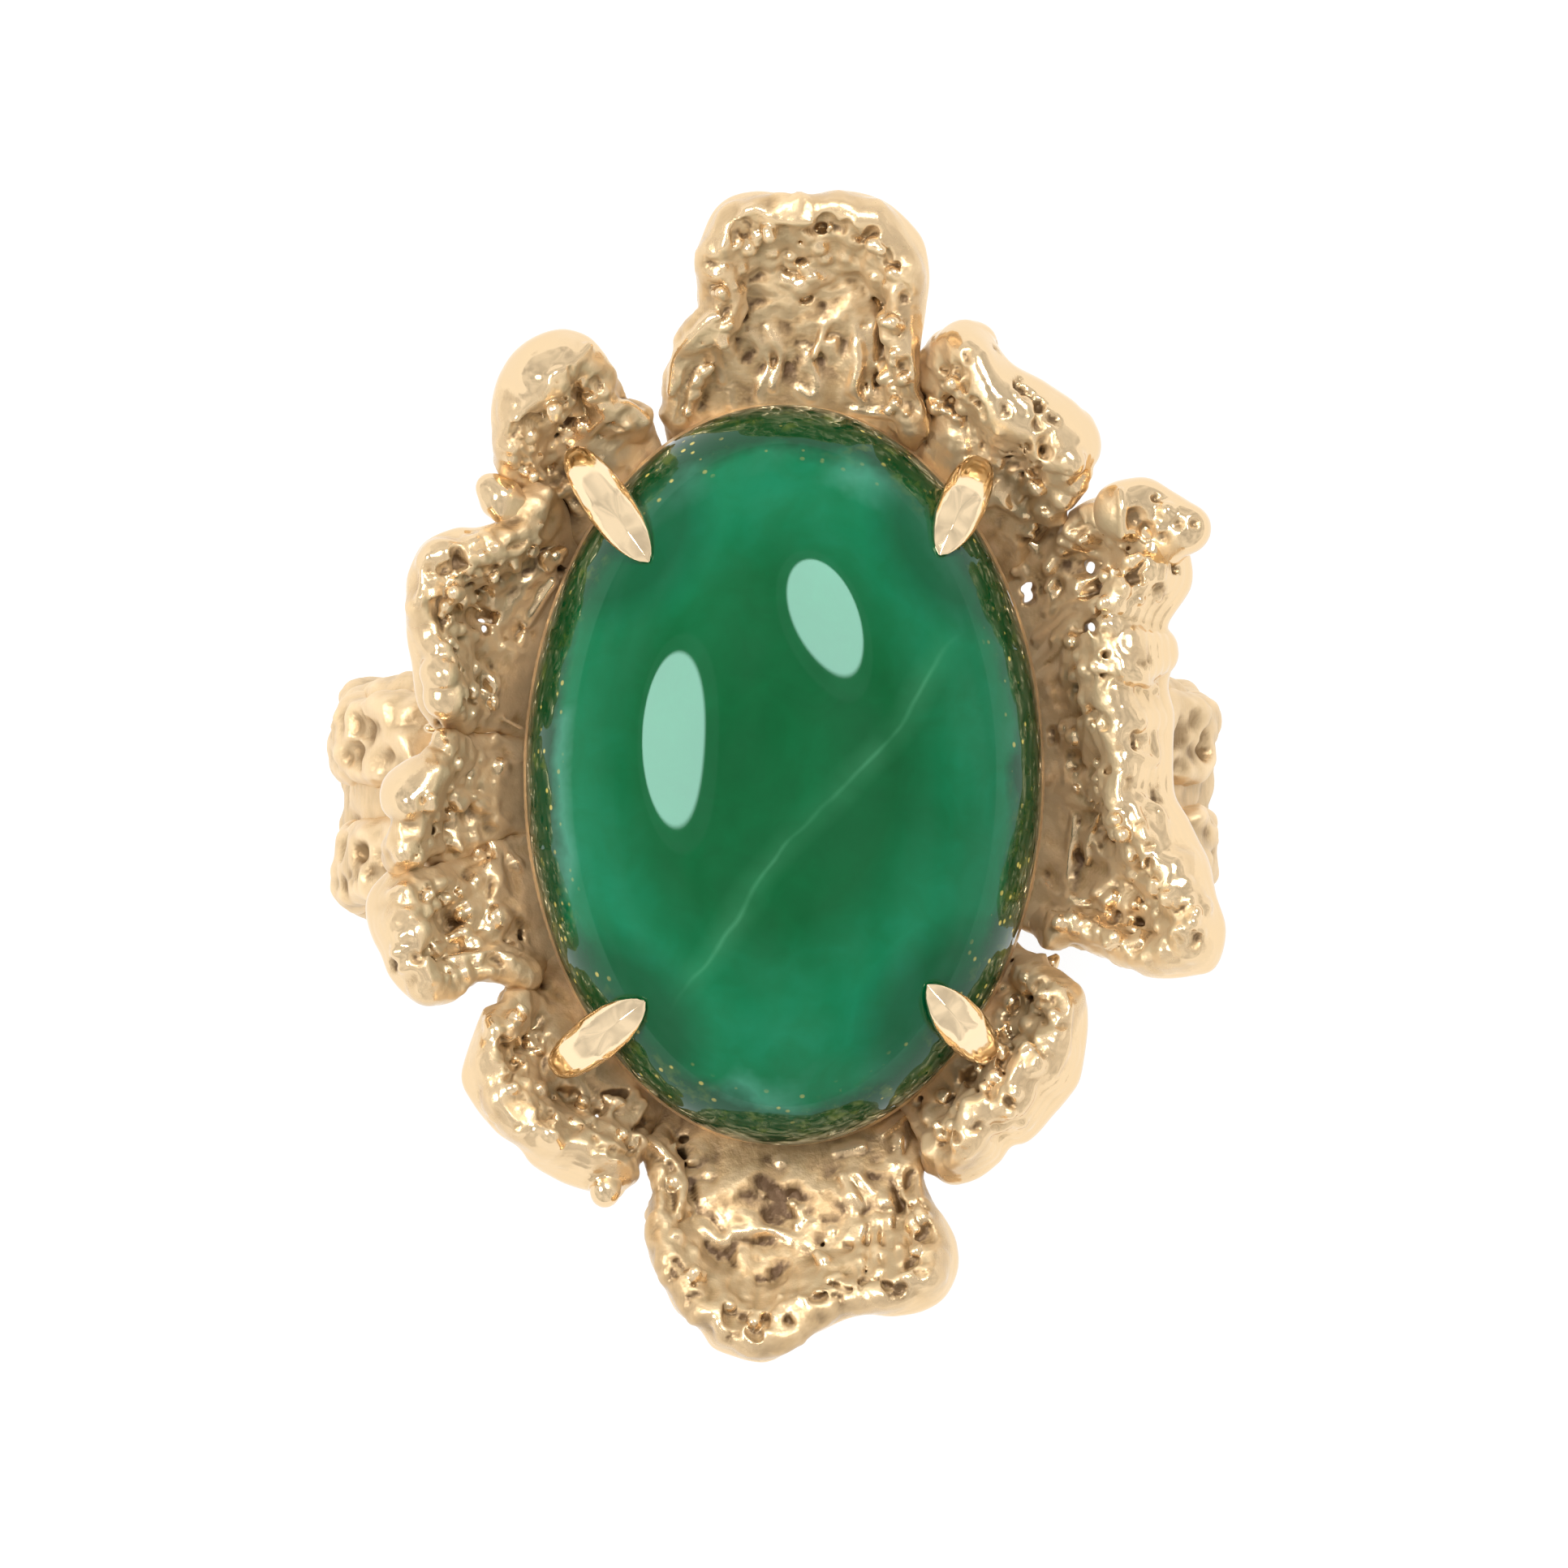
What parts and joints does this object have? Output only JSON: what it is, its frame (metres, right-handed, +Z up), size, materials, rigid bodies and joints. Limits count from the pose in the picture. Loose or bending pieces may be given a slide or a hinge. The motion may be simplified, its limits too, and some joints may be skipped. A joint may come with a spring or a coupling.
{
  "type": "cocktail ring",
  "caption": "Freeform gold cocktail ring: oval green cabochon in four claws, ringed by flared rough-cast petals on a nugget-textured band.",
  "frame": {"origin": "centre of the finger hole", "axes": "+Y along the finger, +Z up through the stone, +X across the hand"},
  "size_m": [0.0227, 0.0285, 0.0296],
  "materials": {
    "green_stone": "high polish, milky green with a pale vein",
    "polished_gold": "mirror-polished yellow gold",
    "gallery_gold": "satin yellow gold",
    "cast_gold": "rough-cast yellow gold with polished rims",
    "band_gold": "pitted nugget texture outside, polished inside"
  },
  "bodies": {
    "root": {"stone": "green_stone", "seat_rail": "gallery_gold", "base_rail": "gallery_gold", "claw_upper_left": "polished_gold", "claw_upper_right": "polished_gold", "claw_lower_left": "polished_gold", "claw_lower_right": "polished_gold", "petal_top": "cast_gold", "petal_upper_right": "cast_gold", "petal_right": "cast_gold", "petal_lower_right": "cast_gold", "petal_bottom": "cast_gold", "petal_lower_left": "cast_gold", "petal_left_lower": "cast_gold", "petal_left_middle": "cast_gold", "petal_left_upper": "cast_gold", "petal_upper_left": "cast_gold", "knob_right": "cast_gold", "knob_left": "cast_gold", "shank": "band_gold", "shoulder_nugget_left_upper": "band_gold", "shoulder_nugget_left_lower": "band_gold", "shoulder_nugget_right_upper": "band_gold", "shoulder_nugget_right_lower": "band_gold"}
  },
  "joints": []
}
